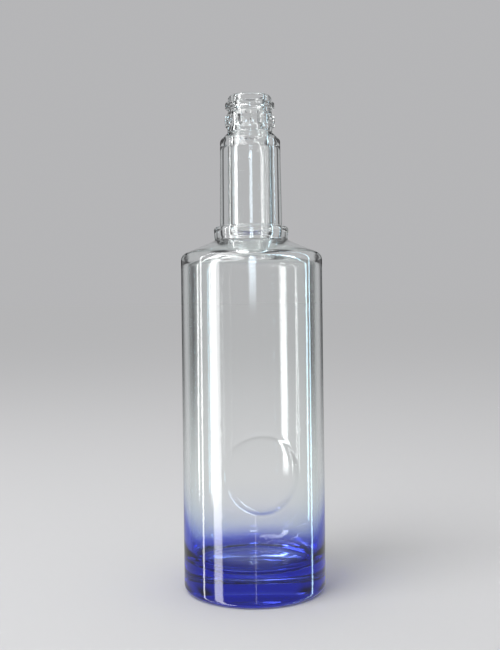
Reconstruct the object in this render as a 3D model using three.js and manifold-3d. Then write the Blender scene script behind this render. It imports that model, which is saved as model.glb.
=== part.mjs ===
// A spirits bottle of clear glass, blown in one mould: a solid base with a hollowed foot,
// a straight body with a round bowl pressed into its front, a sloped shoulder, a collar,
// a long neck and a stepped mouth with a toothed band, a groove, a bead and a lip.
// Millimetres, +Z up, the origin on the axis in the plane that the foot stands on, front towards -Y.

import * as THREE from 'three';
import { mergeVertices } from 'three/addons/utils/BufferGeometryUtils.js';
import Module from 'manifold-3d';

// Body: a straight cylinder under a sloped shoulder
const bodyRadius = 40;
const bodyHeight = 188.3;
const bodyWall = 3.5;
const shoulderSlope = 22.5;
const shoulderFillet = 5;

// Base: solid glass between the hollowed foot and the floor of the inside
const baseThickness = 15.8;
const floorFillet = 9.7;
const heelFillet = 3.4;
const footRingWidth = 6;
const puntDepth = 2.6;

// Bowl pressed into the front of the body, its outline a circle laid on the wall
const bowlRadius = 21;
const bowlDepth = 5.5;
const bowlHeight = 70.5;
const bowlTurn = 6;

// Collar between shoulder and neck
const collarRadius = 21.2;
const collarDraft = 0.4;
const collarHeight = 7.7;
const collarFillet = 1.7;
const collarFootFillet = 1;

// Neck: a slim taper that ends in a sloped shoulder of its own
const neckRadius = 17.7;
const neckTaper = 0.6;
const neckHeight = 49.2;
const neckWall = 4.6;
const neckShoulderHeight = 4;
const neckFillet = 3.2;

// Mouth, from the neck up: waist, toothed band, groove, bead and lip
const waistRadius = 12.8;
const waistHeight = 3;
const waistFillet = 1.2;
const bandRadius = 13.6;
const bandHeight = 6.8;
const bandEdge = 0.9;
const grooveRadius = 12.45;
const grooveHeight = 2.3;
const beadOverhang = 1.5;
const beadHeight = 3.3;
const lipRadius = 12.4;
const lipHeight = 4.1;
const lipFillet = 2.3;
const mouthRadius = 9.3;
const mouthEdge = 0.4;

// Teeth on the band, each with one steep side
const toothCount = 20;
const toothHeight = 0.6;
const toothSteepShare = 0.2;

// Fineness of the curved faces
const turnSteps = 48;
const arcStep = 30;
const domeRings = 5;
const bowlTurnSteps = 40;

const glass = new THREE.MeshStandardMaterial({ color: 0xdfe7ea, roughness: 0.03, metalness: 0 });

// A cut or a joined piece runs this far past the face that it meets
const overrun = 1;

// Levels, each on top of the one before
const slopeRise = Math.tan(THREE.MathUtils.degToRad(shoulderSlope));
const collarFootRadius = collarRadius - collarDraft;
const collarFoot = bodyHeight + (bodyRadius - collarFootRadius) * slopeRise;
const neckFoot = collarFoot + collarHeight;
const neckTop = neckFoot + neckHeight;
const waistFoot = neckTop + neckShoulderHeight;
const bandFoot = waistFoot + waistHeight;
const bandTop = bandFoot + bandHeight;
const grooveFoot = bandTop + (bandRadius + toothHeight - grooveRadius);
const beadFoot = grooveFoot + grooveHeight;
const lipFoot = beadFoot + beadHeight;
const rim = lipFoot + lipHeight;

const wasm = await Module();
wasm.setup();

// An outline through corners [radius, height, fillet], with a round arc at each fillet.
// A fillet that its sides have no room for is made smaller: two fillets share the side between them.
function outline(corners) {
  const points = [];
  corners.forEach(([radius, height, fillet], index) => {
    const corner = new THREE.Vector2(radius, height);
    if (!fillet) {
      points.push(corner);
      return;
    }
    const [before, after] = [corners[index - 1], corners[index + 1]]
      .map(([toRadius, toHeight]) => new THREE.Vector2(toRadius, toHeight).sub(corner));
    const roomBefore = before.length() / (corners[index - 1][2] ? 2 : 1);
    const roomAfter = after.length() / (corners[index + 1][2] ? 2 : 1);
    const room = Math.min(roomBefore, roomAfter);
    before.normalize();
    after.normalize();
    const half = Math.acos(THREE.MathUtils.clamp(before.dot(after), -1, 1)) / 2;
    const size = Math.min(fillet, room * Math.tan(half));
    const middle = before.clone().add(after).setLength(size / Math.sin(half)).add(corner);
    const start = before.multiplyScalar(size / Math.tan(half)).add(corner).sub(middle);
    const end = after.multiplyScalar(size / Math.tan(half)).add(corner).sub(middle);
    const sweep = Math.atan2(start.cross(end), start.dot(end));
    const steps = Math.ceil(Math.abs(THREE.MathUtils.radToDeg(sweep)) / arcStep);
    for (let step = 0; step <= steps; step += 1) {
      points.push(start.clone().rotateAround(new THREE.Vector2(), (sweep * step) / steps).add(middle));
    }
  });
  return points;
}

function toManifold(geometry) {
  geometry.deleteAttribute('normal');
  geometry.deleteAttribute('uv');
  const merged = mergeVertices(geometry);
  return new wasm.Manifold(new wasm.Mesh({
    numProp: 3,
    vertProperties: merged.getAttribute('position').array,
    triVerts: Uint32Array.from(merged.index.array),
  }));
}

function toGeometry(solid) {
  const mesh = solid.getMesh();
  const geometry = new THREE.BufferGeometry();
  geometry.setAttribute('position', new THREE.BufferAttribute(mesh.vertProperties, mesh.numProp));
  geometry.setIndex(new THREE.BufferAttribute(mesh.triVerts, 1));
  geometry.computeVertexNormals();
  return geometry;
}

// A solid of revolution about +Z
function turned(corners) {
  const geometry = new THREE.LatheGeometry(outline(corners), turnSteps);
  geometry.rotateX(Math.PI / 2);
  return toManifold(geometry);
}

// Points of a shallow dome as [distance from its middle, depth below its rim], from the middle outwards
function dome(radius, depth) {
  const points = [];
  for (let ring = 0; ring <= domeRings; ring += 1) {
    const share = ring / domeRings;
    points.push([radius * share, depth * (1 - share * share)]);
  }
  return points;
}

// The bowl as a solid cutter, laid flat first and then bent around a wall of the given radius
function bowlCutter(wallRadius) {
  const hollow = dome(bowlRadius, bowlDepth).map(([across, depth]) => new THREE.Vector2(across, -depth));
  const cover = dome(bowlRadius + overrun, 0).reverse().map(([across]) => new THREE.Vector2(across, overrun));
  const section = [...hollow, ...cover];
  const geometry = new THREE.LatheGeometry(section, bowlTurnSteps);
  const place = geometry.getAttribute('position');
  const front = THREE.MathUtils.degToRad(bowlTurn - 90);
  for (let index = 0; index < place.count; index += 1) {
    const around = front - place.getX(index) / bodyRadius;
    const out = wallRadius + place.getY(index);
    place.setXYZ(index, out * Math.cos(around), out * Math.sin(around), bowlHeight + place.getZ(index));
  }
  return toManifold(geometry);
}

// One tooth: a wedge along the band, steep on one side and sloping on the other
function tooth(number) {
  const pitch = (2 * Math.PI) / toothCount;
  const root = bandRadius - overrun;
  const tip = bandRadius + toothHeight;
  const at = (radius, share) => new THREE.Vector2(radius, 0)
    .rotateAround(new THREE.Vector2(), (number + share) * pitch);
  const plan = new THREE.Shape([at(root, 0), at(tip, toothSteepShare), at(root, 1)]);
  const length = bandHeight - 2 * bandEdge;
  const geometry = new THREE.ExtrudeGeometry(plan, { depth: length, bevelEnabled: false });
  geometry.translate(0, 0, bandFoot + bandEdge);
  return toManifold(geometry);
}

// The outside, from the middle of the foot up to the rim
const puntRadius = bodyRadius - heelFillet - footRingWidth;
const neckTopRadius = neckRadius - neckTaper;
const beadRadius = grooveRadius + beadOverhang;
let outside = turned([
  ...dome(puntRadius, puntDepth).map(([radius, depth]) => [radius, depth, 0]),
  [bodyRadius, 0, heelFillet],
  [bodyRadius, bodyHeight, shoulderFillet],
  [collarFootRadius, collarFoot, collarFootFillet],
  [collarRadius, neckFoot, collarFillet],
  [neckRadius, neckFoot, collarFootFillet],
  [neckTopRadius, neckTop, neckFillet],
  [waistRadius, waistFoot, waistFillet],
  [waistRadius, bandFoot, 0],
  [bandRadius, bandFoot + bandEdge, 0],
  [bandRadius, bandTop - bandEdge, 0],
  [grooveRadius, grooveFoot, 0],
  [grooveRadius, beadFoot, 0],
  [beadRadius, beadFoot, beadHeight / 2],
  [beadRadius, lipFoot, beadHeight / 2],
  [lipRadius, lipFoot, 0],
  [lipRadius, rim, lipFillet],
  [0, rim, 0],
]);
for (let number = 0; number < toothCount; number += 1) {
  outside = outside.add(tooth(number));
}
outside = outside.subtract(bowlCutter(bodyRadius));

// The inside, from the floor up through the neck and out of the mouth
const insideRadius = bodyRadius - bodyWall;
const neckBore = neckRadius - neckWall;
const slopeWall = bodyWall * Math.hypot(1, slopeRise);
const slopeAt = (radius) => bodyHeight + (bodyRadius - radius) * slopeRise - slopeWall;
const inside = turned([
  [0, baseThickness, 0],
  [insideRadius, baseThickness, floorFillet],
  [insideRadius, slopeAt(insideRadius), shoulderFillet],
  [neckBore, slopeAt(neckBore), shoulderFillet],
  [neckBore, neckTop - neckWall, shoulderFillet],
  [mouthRadius, bandFoot, shoulderFillet],
  [mouthRadius, rim, mouthEdge],
  [mouthRadius + overrun, rim, 0],
  [mouthRadius + overrun, rim + overrun, 0],
  [0, rim + overrun, 0],
]).subtract(bowlCutter(insideRadius));

const bottle = new THREE.Group();
const glassBottle = new THREE.Mesh(toGeometry(outside.subtract(inside)), glass);
glassBottle.name = 'glass_bottle';
bottle.add(glassBottle);

export default bottle;
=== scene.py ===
import math

import bmesh
import bpy
from mathutils import Matrix, Vector, noise


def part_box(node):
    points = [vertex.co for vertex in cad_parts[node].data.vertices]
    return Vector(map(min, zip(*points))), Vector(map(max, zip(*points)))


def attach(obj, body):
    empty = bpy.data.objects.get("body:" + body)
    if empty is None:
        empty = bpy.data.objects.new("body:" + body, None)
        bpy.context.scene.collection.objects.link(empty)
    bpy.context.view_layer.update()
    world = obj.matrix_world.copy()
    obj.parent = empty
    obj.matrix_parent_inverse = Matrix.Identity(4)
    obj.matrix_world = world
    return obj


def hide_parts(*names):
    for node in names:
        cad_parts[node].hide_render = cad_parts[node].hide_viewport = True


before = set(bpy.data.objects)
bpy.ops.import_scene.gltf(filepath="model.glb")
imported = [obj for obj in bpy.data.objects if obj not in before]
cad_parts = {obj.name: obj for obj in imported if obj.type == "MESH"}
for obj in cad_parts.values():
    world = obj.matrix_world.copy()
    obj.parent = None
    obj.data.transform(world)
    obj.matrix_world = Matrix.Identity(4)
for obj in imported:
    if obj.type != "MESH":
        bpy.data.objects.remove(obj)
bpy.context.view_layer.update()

# The bottle is one piece of clear glass, blown in a mould: a solid base with a hollowed foot, a
# straight wall with a round bowl pressed into its front, a sloped shoulder, a collar, a slim neck
# and a stepped mouth. Its foot is sprayed with see-through blue lacquer that fades out upwards.

# Sizes of the outside, in metres
foot_corner, mouth_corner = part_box("glass_bottle")
body_radius = (mouth_corner[0] - foot_corner[0]) / 2
rim_height = mouth_corner[2]
body_height = 0.1883
shoulder_slope = math.tan(math.radians(22.5))
shoulder_fillet = 0.005
heel_fillet = 0.0034
foot_ring_width = 0.006
foot_ring_fillet = 0.0012
hollow_depth = 0.0026
collar_radius = 0.0212
collar_foot_radius = 0.0208
collar_height = 0.0077
collar_fillet = 0.0017
collar_foot_fillet = 0.001
neck_radius = 0.0177
neck_top_radius = 0.0171
neck_fillet = 0.0032
neck_shoulder_height = 0.004
waist_radius = 0.0128
waist_height = 0.003
waist_fillet = 0.0012
band_radius = 0.0136
band_height = 0.0068
band_edge = 0.0009
groove_radius = 0.01245
groove_height = 0.0023
bead_radius = 0.01395
bead_height = 0.0033
lip_radius = 0.0124
lip_height = 0.0041
lip_fillet = 0.0023
small_fillet = 0.0003

# Teeth on the band, each with one steep side
tooth_count = 20
tooth_height = 0.0006
tooth_steep_share = 0.2

# Sizes of the inside
body_wall = 0.0035
neck_wall = 0.0046
base_thickness = 0.0158
floor_fillet = 0.0097
throat_fillet = 0.006
mouth_radius = 0.0093
mouth_edge = 0.0004

# The bowl: a circle laid on the wall, deepest in its middle. The hot glass follows the mould
# exactly on the outside and more softly on the inside.
bowl_radius = 0.021
bowl_height = 0.0705
bowl_turn = math.radians(6)
bowl_depth_outside = 0.0055
bowl_depth_inside = 0.0052
bowl_rim_outside = 0.00045
bowl_rim_inside = 0.0012

# Levels of the outside, counted up from the foot and down from the rim
collar_foot = body_height + (body_radius - collar_foot_radius) * shoulder_slope
neck_foot = collar_foot + collar_height
lip_foot = rim_height - lip_height
bead_foot = lip_foot - bead_height
groove_foot = bead_foot - groove_height
band_top = groove_foot - (band_radius + tooth_height - groove_radius)
band_foot = band_top - band_height
waist_foot = band_foot - waist_height
neck_top = waist_foot - neck_shoulder_height

# Fineness of the surface: rows of points one above the other, each with its columns around the
# axis. A square patch of the wall around the bowl has rings instead, closest over the bowl's rim.
columns_per_tooth = 12
columns = tooth_count * columns_per_tooth
arc_step = math.radians(9)
fewest_arc_steps = 2
longest_step = 0.004
hollow_rings = 8
patch_step = 0.002
patch_half = 0.026
patch_ring_shares = (0.35, 0.7)
rim_margin = 0.65
rim_rings = 12
bowl_rings = 19
hardly_any = 1e-6


def rounded(corners):
    """Points through corners (radius, height, fillet), with an arc at each fillet."""
    points = []
    for index, (radius, height, fillet) in enumerate(corners):
        corner = Vector((radius, height))
        if not fillet:
            points.append(corner)
            continue
        before = Vector(corners[index - 1][:2]) - corner
        after = Vector(corners[index + 1][:2]) - corner
        room_before = before.length / (2 if corners[index - 1][2] else 1)
        room_after = after.length / (2 if corners[index + 1][2] else 1)
        before.normalize()
        after.normalize()
        half = before.angle(after) / 2
        fillet = min(fillet, min(room_before, room_after) * math.tan(half))
        middle = corner + (before + after).normalized() * fillet / math.sin(half)
        start = corner + before * fillet / math.tan(half) - middle
        end = corner + after * fillet / math.tan(half) - middle
        sweep = math.atan2(start.x * end.y - start.y * end.x, start.dot(end))
        steps = max(fewest_arc_steps, math.ceil(abs(sweep) / arc_step))
        for step in range(steps + 1):
            points.append(middle + Matrix.Rotation(sweep * step / steps, 2) @ start)
    return points


def stepped(points):
    """The same outline, cut into short steps, shortest where the bowl's patch meets it."""
    rows = [points[0]]
    for low, high in zip(points[:-1], points[1:]):
        length = (high - low).length
        if length == 0:
            continue
        beside_bowl = low.x == high.x and abs(length - 2 * patch_half) < hardly_any
        longest = patch_step if beside_bowl else longest_step
        steps = max(1, math.ceil(length / longest - hardly_any))
        for step in range(1, steps + 1):
            rows.append(low.lerp(high, step / steps))
    return rows


foot_ring_radius = body_radius - heel_fillet - foot_ring_width
hollow = []
for ring in range(hollow_rings):
    share = ring / hollow_rings
    hollow.append((foot_ring_radius * share, hollow_depth * (1 - share * share), 0))
outside_rows = stepped(rounded(hollow + [
    (foot_ring_radius, 0, foot_ring_fillet),
    (body_radius, 0, heel_fillet),
    (body_radius, bowl_height - patch_half, 0),
    (body_radius, bowl_height + patch_half, 0),
    (body_radius, body_height, shoulder_fillet),
    (collar_foot_radius, collar_foot, collar_foot_fillet),
    (collar_radius, neck_foot, collar_fillet),
    (neck_radius, neck_foot, collar_foot_fillet),
    (neck_top_radius, neck_top, neck_fillet),
    (waist_radius, waist_foot, waist_fillet),
    (waist_radius, band_foot, small_fillet),
    (band_radius, band_foot + band_edge, small_fillet),
    (band_radius, band_top - band_edge, small_fillet),
    (groove_radius, groove_foot, small_fillet),
    (groove_radius, bead_foot, small_fillet),
    (bead_radius, bead_foot, bead_height / 2),
    (bead_radius, lip_foot, bead_height / 2),
    (lip_radius, lip_foot, small_fillet),
    (lip_radius, rim_height, lip_fillet),
    (mouth_radius + mouth_edge, rim_height, 0),
]))

inside_radius = body_radius - body_wall
neck_bore = neck_radius - neck_wall
slope_wall = body_wall * math.hypot(1, shoulder_slope)
inside_shoulder = body_height + body_wall * shoulder_slope - slope_wall
inside_throat = body_height + (body_radius - neck_bore) * shoulder_slope - slope_wall
inside_rows = stepped(rounded([
    (mouth_radius + mouth_edge, rim_height, 0),
    (mouth_radius, rim_height, mouth_edge),
    (mouth_radius, band_foot, throat_fillet),
    (neck_bore, neck_top - neck_wall, throat_fillet),
    (neck_bore, inside_throat, throat_fillet),
    (inside_radius, inside_shoulder, throat_fillet),
    (inside_radius, bowl_height + patch_half, 0),
    (inside_radius, bowl_height - patch_half, 0),
    (inside_radius, base_thickness, floor_fillet),
    (0, base_thickness, 0),
]))


def bowl_push(distance, depth, rim):
    """How far the wall is pushed in at a distance from the bowl's middle, with a rounded rim."""
    push = depth * (1 - (distance / bowl_radius) ** 2)
    blend = min(max(0.5 + 0.5 * push / rim, 0), 1)
    return push * blend + rim * blend * (1 - blend)


def tooth_push(angle):
    """How far the toothed band stands out at an angle."""
    share = angle * tooth_count / (2 * math.pi) % 1
    if share < tooth_steep_share:
        return tooth_height * share / tooth_steep_share
    return tooth_height * (1 - share) / (1 - tooth_steep_share)


# Blown glass is never quite even inside, where no mould touches it
ripple_height = 0.00009
ripple_across = 0.022
ripple_along = 0.07


def ripple(angle, radius, height):
    """A long, low wave of the inner surface."""
    across = Vector((math.cos(angle), math.sin(angle))) * radius / ripple_across
    return ripple_height * noise.noise(Vector((across.x, across.y, height / ripple_along)))


shell = bmesh.new()


def on_wall(radius, angle, height):
    """A new point of the glass, at a distance from the axis, an angle around it and a height."""
    return shell.verts.new((radius * math.cos(angle), radius * math.sin(angle), height))


def column_angle(column):
    """The angle around the axis at which a column of points stands."""
    return 2 * math.pi * column / columns


def turn(rows, inside):
    """The rows as rings of points about the axis; a row on the axis is a single point."""
    grid = []
    for row in rows:
        if row.x < hardly_any:
            grid.append([shell.verts.new((0, 0, row.y))] * columns)
            continue
        ring = []
        on_band = not inside and band_foot + band_edge / 2 < row.y < band_top - band_edge / 2
        for column in range(columns):
            angle = column_angle(column)
            radius = row.x
            if on_band:
                radius += tooth_push(angle)
            if inside:
                radius += ripple(angle, radius, row.y)
            ring.append(on_wall(radius, angle, row.y))
        grid.append(ring)
    return grid


bowl_angle = bowl_turn - math.pi / 2
bowl_column = round(bowl_angle / (2 * math.pi) * columns)
patch_columns = math.ceil(patch_half / body_radius / (2 * math.pi) * columns)
patch_left = bowl_column - patch_columns
patch_right = bowl_column + patch_columns


def patch_ends(rows):
    """The first and the last row of the patch that holds the bowl."""
    beside = [index for index, row in enumerate(rows) if abs(row.y - bowl_height) < patch_half + hardly_any]
    return beside[0], beside[-1]


def wall_faces(rows, grid, inside):
    """Faces between the rings of points, all but those of the patch."""
    first, last = patch_ends(rows)
    patch = {column % columns for column in range(patch_left, patch_right)}
    for row in range(len(rows) - 1):
        for column in range(columns):
            if first <= row < last and column in patch:
                continue
            beside = (column + 1) % columns
            corners = [grid[row][column], grid[row][beside], grid[row + 1][beside], grid[row + 1][column]]
            shell.faces.new(list(dict.fromkeys(corners))).material_index = int(inside)


def bowl_faces(rows, grid, inside):
    """The patch as rings of points, from its square edge over the bowl's rim to the middle."""
    first, last = patch_ends(rows)
    loop = [(first, column) for column in range(patch_left, patch_right)]
    loop += [(row, patch_right) for row in range(first, last)]
    loop += [(last, column) for column in range(patch_right, patch_left, -1)]
    loop += [(row, patch_left) for row in range(last, first, -1)]
    edge = [grid[row][column % columns] for row, column in loop]
    places = [
        Vector(((column_angle(column) - bowl_angle) * body_radius, rows[row].y - bowl_height))
        for row, column in loop
    ]
    around = [place.normalized() for place in places]

    wall = rows[first].x
    depth = bowl_depth_inside if inside else bowl_depth_outside
    rim = bowl_rim_inside if inside else bowl_rim_outside
    rim_reach = rim / depth * bowl_radius * rim_margin
    rim_outer = bowl_radius + rim_reach
    rim_inner = bowl_radius - rim_reach
    radii = [rim_outer + (rim_inner - rim_outer) * step / rim_rings for step in range(rim_rings + 1)]
    radii += [rim_inner * (1 - step / bowl_rings) for step in range(1, bowl_rings)]
    rings = []
    for share in patch_ring_shares:
        rings.append([place.lerp(way * rim_outer, share) for place, way in zip(places, around)])
    for radius in radii:
        rings.append([way * radius for way in around])

    for ring in rings:
        inner = []
        for place in ring:
            angle = bowl_angle + place.x / body_radius
            height = bowl_height + place.y
            radius = wall - bowl_push(place.length, depth, rim)
            if inside:
                radius += ripple(angle, wall, height)
            inner.append(on_wall(radius, angle, height))
        for index in range(len(edge)):
            beside = (index + 1) % len(edge)
            corners = (edge[index], edge[beside], inner[beside], inner[index])
            shell.faces.new(corners).material_index = int(inside)
        edge = inner
    middle = on_wall(wall - bowl_push(0, depth, rim), bowl_angle, bowl_height)
    for index in range(len(edge)):
        beside = (index + 1) % len(edge)
        shell.faces.new((edge[index], edge[beside], middle)).material_index = int(inside)


# Outside and inside share the ring of points at the rim. Points under the patches carry no face.
outside_grid = turn(outside_rows, False)
inside_grid = turn(inside_rows, True)
inside_grid[0] = outside_grid[-1]
for rows, grid, inside in ((outside_rows, outside_grid, False), (inside_rows, inside_grid, True)):
    wall_faces(rows, grid, inside)
    bowl_faces(rows, grid, inside)
bmesh.ops.delete(shell, geom=[point for point in shell.verts if not point.link_faces], context="VERTS")
bmesh.ops.recalc_face_normals(shell, faces=shell.faces)
for face in shell.faces:
    face.smooth = True
bottle_mesh = bpy.data.meshes.new("moulded_bottle")
shell.to_mesh(bottle_mesh)
shell.free()
bottle = bpy.data.objects.new("moulded_bottle", bottle_mesh)
bpy.context.collection.objects.link(bottle)

# Finish of the glass: clear and polished, a little grey-green where a glance runs along the wall
glass_ior = 1.52
clear_tint = (0.985, 0.992, 0.99, 1)
edge_tint = (0.74, 0.86, 0.83, 1)
edge_blend = 0.25

# Finish of the lacquer: a sprayed film, dense at the foot, its upper edge a fine mist of drops.
# A glance along the wall runs through more of it, so there the blue reaches higher. The stops
# run from the film's upper end to where it is full.
lacquer_full_height = 0.015
lacquer_end_height = 0.056
lacquer_stops = [
    (0.0, (1, 1, 1, 1)),
    (0.35, (0.93, 0.955, 0.998, 1)),
    (0.6, (0.70, 0.77, 0.98, 1)),
    (0.8, (0.30, 0.38, 0.92, 1)),
    (0.92, (0.06, 0.09, 0.78, 1)),
    (1.0, (0.014, 0.024, 0.62, 1)),
]
mist_scale = 900
mist_detail = 3
mist_height = 0.008
glance_blend = 0.5
glance_height = 0.038

# Painted glow: the inside has no lacquer, but its floor and rounded corner are painted blue, which stands
# in for the blue light of the lacquered base
painted_glow_full_height = 0.016
painted_glow_end_height = 0.036
painted_glow_stops = [
    (0.0, (1, 1, 1, 1)),
    (0.45, (0.90, 0.93, 0.995, 1)),
    (1.0, (0.12, 0.18, 0.86, 1)),
]

# The mould leaves the faintest unevenness on the outside, which makes the highlights waver
waver_scale = 55
waver_detail = 1
waver_height = 0.00003


def glass_finish(name, film_and_glow_stops, full_height, end_height):
    """Clear glass, coloured blue towards the foot, fading out upwards: a lacquer film on the outside, a
    painted glow on the inside.
    """
    material = bpy.data.materials.new(name)
    material.use_nodes = True
    nodes, links = material.node_tree.nodes, material.node_tree.links
    shader = nodes["Principled BSDF"]
    shader.inputs["Transmission Weight"].default_value = 1
    shader.inputs["IOR"].default_value = glass_ior
    shader.inputs["Roughness"].default_value = 0
    glance = nodes.new("ShaderNodeLayerWeight")
    glance.inputs["Blend"].default_value = edge_blend
    tint = nodes.new("ShaderNodeMix")
    tint.data_type = "RGBA"
    tint.inputs["A"].default_value = clear_tint
    tint.inputs["B"].default_value = edge_tint
    links.new(glance.outputs["Facing"], tint.inputs["Factor"])
    place = nodes.new("ShaderNodeTexCoord")
    split = nodes.new("ShaderNodeSeparateXYZ")
    links.new(place.outputs["Object"], split.inputs[0])
    fade = nodes.new("ShaderNodeMapRange")
    fade.inputs["From Min"].default_value = end_height
    fade.inputs["From Max"].default_value = full_height
    links.new(split.outputs["Z"], fade.inputs["Value"])
    film_and_glow = nodes.new("ShaderNodeValToRGB")
    stops = film_and_glow.color_ramp.elements
    for position, _ in film_and_glow_stops[1:-1]:
        stops.new(position)
    for stop, (position, colour) in zip(stops, film_and_glow_stops):
        stop.position = position
        stop.color = colour
    links.new(fade.outputs["Result"], film_and_glow.inputs["Fac"])
    together = nodes.new("ShaderNodeMix")
    together.data_type = "RGBA"
    together.blend_type = "MULTIPLY"
    together.inputs["Factor"].default_value = 1
    links.new(tint.outputs["Result"], together.inputs["A"])
    links.new(film_and_glow.outputs["Color"], together.inputs["B"])
    links.new(together.outputs["Result"], shader.inputs["Base Color"])
    return material, place, split, fade


outer_finish, place, split, fade = glass_finish(
    "lacquered_glass", lacquer_stops, lacquer_full_height, lacquer_end_height)
nodes, links = outer_finish.node_tree.nodes, outer_finish.node_tree.links
drops = nodes.new("ShaderNodeTexNoise")
drops.inputs["Scale"].default_value = mist_scale
drops.inputs["Detail"].default_value = mist_detail
links.new(place.outputs["Object"], drops.inputs["Vector"])
mist = nodes.new("ShaderNodeMath")
mist.operation = "MULTIPLY_ADD"
mist.inputs[1].default_value = mist_height
links.new(drops.outputs["Fac"], mist.inputs[0])
links.new(split.outputs["Z"], mist.inputs[2])
glance = nodes.new("ShaderNodeLayerWeight")
glance.inputs["Blend"].default_value = glance_blend
along_film = nodes.new("ShaderNodeMath")
along_film.operation = "MULTIPLY_ADD"
along_film.inputs[1].default_value = -glance_height
links.new(glance.outputs["Facing"], along_film.inputs[0])
links.new(mist.outputs[0], along_film.inputs[2])
links.new(along_film.outputs[0], fade.inputs["Value"])
waver = nodes.new("ShaderNodeTexNoise")
waver.inputs["Scale"].default_value = waver_scale
waver.inputs["Detail"].default_value = waver_detail
links.new(place.outputs["Object"], waver.inputs["Vector"])
uneven = nodes.new("ShaderNodeBump")
uneven.inputs["Strength"].default_value = 1
uneven.inputs["Distance"].default_value = waver_height
links.new(waver.outputs["Fac"], uneven.inputs["Height"])
links.new(uneven.outputs["Normal"], nodes["Principled BSDF"].inputs["Normal"])
bottle_mesh.materials.append(outer_finish)

# The inner surface gets the painted blue glow at the floor, not a lacquer
inner_finish = glass_finish(
    "clear_glass", painted_glow_stops, painted_glow_full_height, painted_glow_end_height)[0]
bottle_mesh.materials.append(inner_finish)

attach(bottle, "root")
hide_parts("glass_bottle")

# The studio: a wide pale table under the bottle, and a pale wall far behind it. The wall has the
# colour that the table takes far off. Gloss sees the wall instead of the table, so that the long
# highlights run down to the foot.
table_colour = (0.58, 0.58, 0.59, 1)
table_roughness = 0.6
table_radius = 40
table_sides = 64
wall_colour = (0.465, 0.465, 0.475, 1)
room_colour = (1, 1, 1, 1)
room_light = 0.8

table_mesh = bpy.data.meshes.new("table")
outline = bmesh.new()
bmesh.ops.create_circle(outline, cap_ends=True, radius=table_radius, segments=table_sides)
outline.to_mesh(table_mesh)
outline.free()
table = bpy.data.objects.new("table", table_mesh)
bpy.context.collection.objects.link(table)
table.visible_glossy = False
table_finish = bpy.data.materials.new("pale_table")
table_finish.use_nodes = True
shader = table_finish.node_tree.nodes["Principled BSDF"]
shader.inputs["Base Color"].default_value = table_colour
shader.inputs["Specular IOR Level"].default_value = 0
shader.inputs["Roughness"].default_value = table_roughness
table_mesh.materials.append(table_finish)

# The room lights the bottle evenly; the camera, gloss and the view through the glass see the wall
world = bpy.data.worlds.new("studio")
bpy.context.scene.world = world
world.use_nodes = True
nodes, links = world.node_tree.nodes, world.node_tree.links
room = nodes["Background"]
room.inputs["Color"].default_value = room_colour
room.inputs["Strength"].default_value = room_light
wall = nodes.new("ShaderNodeBackground")
wall.inputs["Color"].default_value = wall_colour
seen = nodes.new("ShaderNodeLightPath")
seen_or_mirrored = nodes.new("ShaderNodeMath")
seen_or_mirrored.operation = "MAXIMUM"
links.new(seen.outputs["Is Camera Ray"], seen_or_mirrored.inputs[0])
links.new(seen.outputs["Is Glossy Ray"], seen_or_mirrored.inputs[1])
seen_through = nodes.new("ShaderNodeMath")
seen_through.operation = "MAXIMUM"
links.new(seen_or_mirrored.outputs[0], seen_through.inputs[0])
links.new(seen.outputs["Is Transmission Ray"], seen_through.inputs[1])
choose = nodes.new("ShaderNodeMixShader")
links.new(seen_through.outputs[0], choose.inputs["Fac"])
links.new(room.outputs[0], choose.inputs[1])
links.new(wall.outputs[0], choose.inputs[2])
links.new(choose.outputs[0], nodes["World Output"].inputs["Surface"])

# Upright panels with soft edges stand around the bottle, out of the picture: bright ones, like a
# window and its reflections, and two dark ones behind it, which draw the outline of the glass.
# They cast no light on the table. Some show only as gloss on the glass, some only through it.
white = (1, 1, 1)
sky = (0.6, 0.86, 1.0)
pale_sky = (0.78, 0.91, 1.0)
cool_white = (1, 1, 1.1)
on_glass = {"glossy"}
through_glass = {"transmission"}
below_table = -0.5
table_level = 0
panel_top = 1.0


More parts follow.
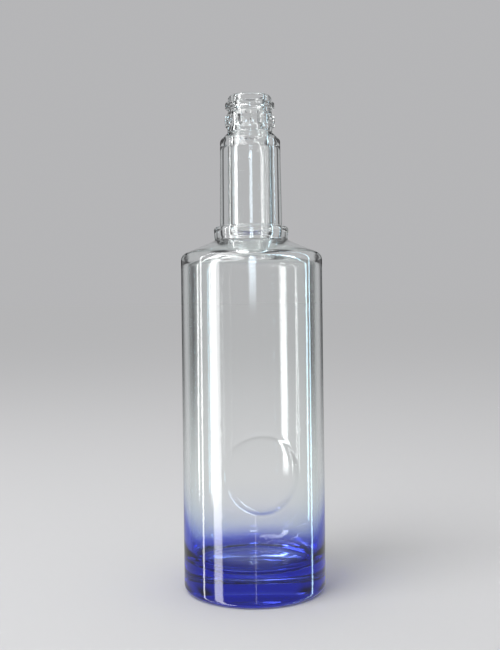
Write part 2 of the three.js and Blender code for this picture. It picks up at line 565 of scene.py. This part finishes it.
def soft_panel(name, turned, distance, width, low, high, side_soft, foot_soft,
               colour, brightness, seen_by):
    """An upright panel that faces the bottle, turned around it by degrees from the front."""
    azimuth = math.radians(turned)
    panel_mesh = bpy.data.meshes.new(name)
    corners = [(-width / 2, 0, low), (width / 2, 0, low), (width / 2, 0, high), (-width / 2, 0, high)]
    panel_mesh.from_pydata(corners, [], [(0, 1, 2, 3)])
    panel = bpy.data.objects.new(name, panel_mesh)
    panel.location = (distance * math.sin(azimuth), -distance * math.cos(azimuth), 0)
    panel.rotation_euler = (0, 0, azimuth)
    panel.visible_camera = False
    panel.visible_diffuse = False
    panel.visible_shadow = False
    panel.visible_glossy = "glossy" in seen_by
    panel.visible_transmission = "transmission" in seen_by
    bpy.context.collection.objects.link(panel)
    finish = bpy.data.materials.new(name)
    finish.use_nodes = True
    nodes, links = finish.node_tree.nodes, finish.node_tree.links
    nodes.remove(nodes["Principled BSDF"])
    lit = nodes.new("ShaderNodeEmission")
    lit.inputs["Color"].default_value = (*colour, 1)
    lit.inputs["Strength"].default_value = brightness
    clear = nodes.new("ShaderNodeBsdfTransparent")
    place = nodes.new("ShaderNodeTexCoord")
    split = nodes.new("ShaderNodeSeparateXYZ")
    links.new(place.outputs["Object"], split.inputs[0])
    aside = nodes.new("ShaderNodeMath")
    aside.operation = "ABSOLUTE"
    links.new(split.outputs["X"], aside.inputs[0])
    side_fade = nodes.new("ShaderNodeMapRange")
    side_fade.interpolation_type = "SMOOTHSTEP"
    side_fade.inputs["From Min"].default_value = width / 2
    side_fade.inputs["From Max"].default_value = width / 2 * (1 - side_soft)
    links.new(aside.outputs[0], side_fade.inputs["Value"])
    foot_fade = nodes.new("ShaderNodeMapRange")
    foot_fade.interpolation_type = "SMOOTHSTEP"
    foot_fade.inputs["From Min"].default_value = low
    foot_fade.inputs["From Max"].default_value = low + foot_soft
    links.new(split.outputs["Z"], foot_fade.inputs["Value"])
    cover = nodes.new("ShaderNodeMath")
    cover.operation = "MULTIPLY"
    links.new(side_fade.outputs["Result"], cover.inputs[0])
    links.new(foot_fade.outputs["Result"], cover.inputs[1])
    blend = nodes.new("ShaderNodeMixShader")
    links.new(cover.outputs[0], blend.inputs["Fac"])
    links.new(clear.outputs[0], blend.inputs[1])
    links.new(lit.outputs[0], blend.inputs[2])
    links.new(blend.outputs[0], nodes["Material Output"].inputs["Surface"])
    panel_mesh.materials.append(finish)


soft_panel("window", turned=-54.2, distance=0.20, width=0.058, low=below_table, high=panel_top,
           side_soft=0.4, foot_soft=0.02, colour=white, brightness=9, seen_by=on_glass)
soft_panel("window_edge", turned=-81.1, distance=0.20, width=0.016, low=below_table, high=panel_top,
           side_soft=0.6, foot_soft=0.02, colour=white, brightness=11, seen_by=on_glass)
soft_panel("window_through", turned=-64.9, distance=0.25, width=0.076, low=table_level, high=panel_top,
           side_soft=0.5, foot_soft=0.02, colour=white, brightness=11, seen_by=through_glass)
soft_panel("edge_through", turned=-97.3, distance=0.25, width=0.022, low=table_level, high=panel_top,
           side_soft=0.6, foot_soft=0.02, colour=white, brightness=10, seen_by=through_glass)
soft_panel("right_sky", turned=96, distance=0.20, width=0.016, low=below_table, high=panel_top,
           side_soft=0.6, foot_soft=0.02, colour=sky, brightness=11, seen_by=on_glass | through_glass)
soft_panel("front_low", turned=1.5, distance=0.62, width=0.03, low=-0.30, high=-0.08,
           side_soft=1, foot_soft=0.04, colour=white, brightness=4, seen_by=on_glass)
soft_panel("front_high", turned=1.2, distance=0.62, width=0.15, low=0.14, high=0.36,
           side_soft=0.5, foot_soft=0.06, colour=pale_sky, brightness=11, seen_by=on_glass)
soft_panel("front_far", turned=1.2, distance=4, width=1.24, low=1.0, high=2.2,
           side_soft=0.3, foot_soft=0.5, colour=pale_sky, brightness=15, seen_by=through_glass)
for name, turned in (("left_dark", -152), ("right_dark", 152)):
    soft_panel(name, turned, distance=0.24, width=0.10, low=table_level, high=panel_top,
               side_soft=0.75, foot_soft=0.14, colour=cool_white, brightness=0.02,
               seen_by=on_glass | through_glass)

# One wide soft light above and to the left gives the bottle its shadow
overhead_width = 0.8
overhead_power = 9
overhead_place = Vector((-0.55, -0.5, 1.1))
overhead_aim = Vector((0, 0, 0.1))

overhead_lamp = bpy.data.lights.new("overhead", "AREA")
overhead_lamp.shape = "DISK"
overhead_lamp.size = overhead_width
overhead_lamp.energy = overhead_power
overhead = bpy.data.objects.new("overhead", overhead_lamp)
overhead.location = overhead_place
overhead.rotation_euler = (overhead_aim - overhead_place).to_track_quat("-Z", "Y").to_euler()
overhead.visible_camera = False
bpy.context.collection.objects.link(overhead)

# The camera: level, in front of the bottle, as the photograph was taken
camera_distance = 0.5115
camera_height = 0.1626
camera_roll = math.radians(-0.66)
camera_lens = 49.85
camera_sensor = 36
picture_width = 500
picture_height = 650
horizon_row = 300
axis_column = 251.9

camera_data = bpy.data.cameras.new("camera")
camera_data.sensor_width = camera_sensor
camera_data.lens = camera_lens
camera_data.shift_x = (picture_width / 2 - axis_column) / picture_height
camera_data.shift_y = (horizon_row - picture_height / 2) / picture_height
camera = bpy.data.objects.new("camera", camera_data)
bpy.context.collection.objects.link(camera)
camera.matrix_world = (
    Matrix.Translation((0, -camera_distance, camera_height))
    @ Matrix.Rotation(math.pi / 2, 4, "X")
    @ Matrix.Rotation(camera_roll, 4, "Z")
)
bpy.context.scene.camera = camera
bpy.context.scene.view_settings.view_transform = "Standard"

# Light crosses many walls of glass on its way to the camera
glass_bounces = 24
bpy.context.scene.cycles.max_bounces = glass_bounces
bpy.context.scene.cycles.transmission_bounces = glass_bounces
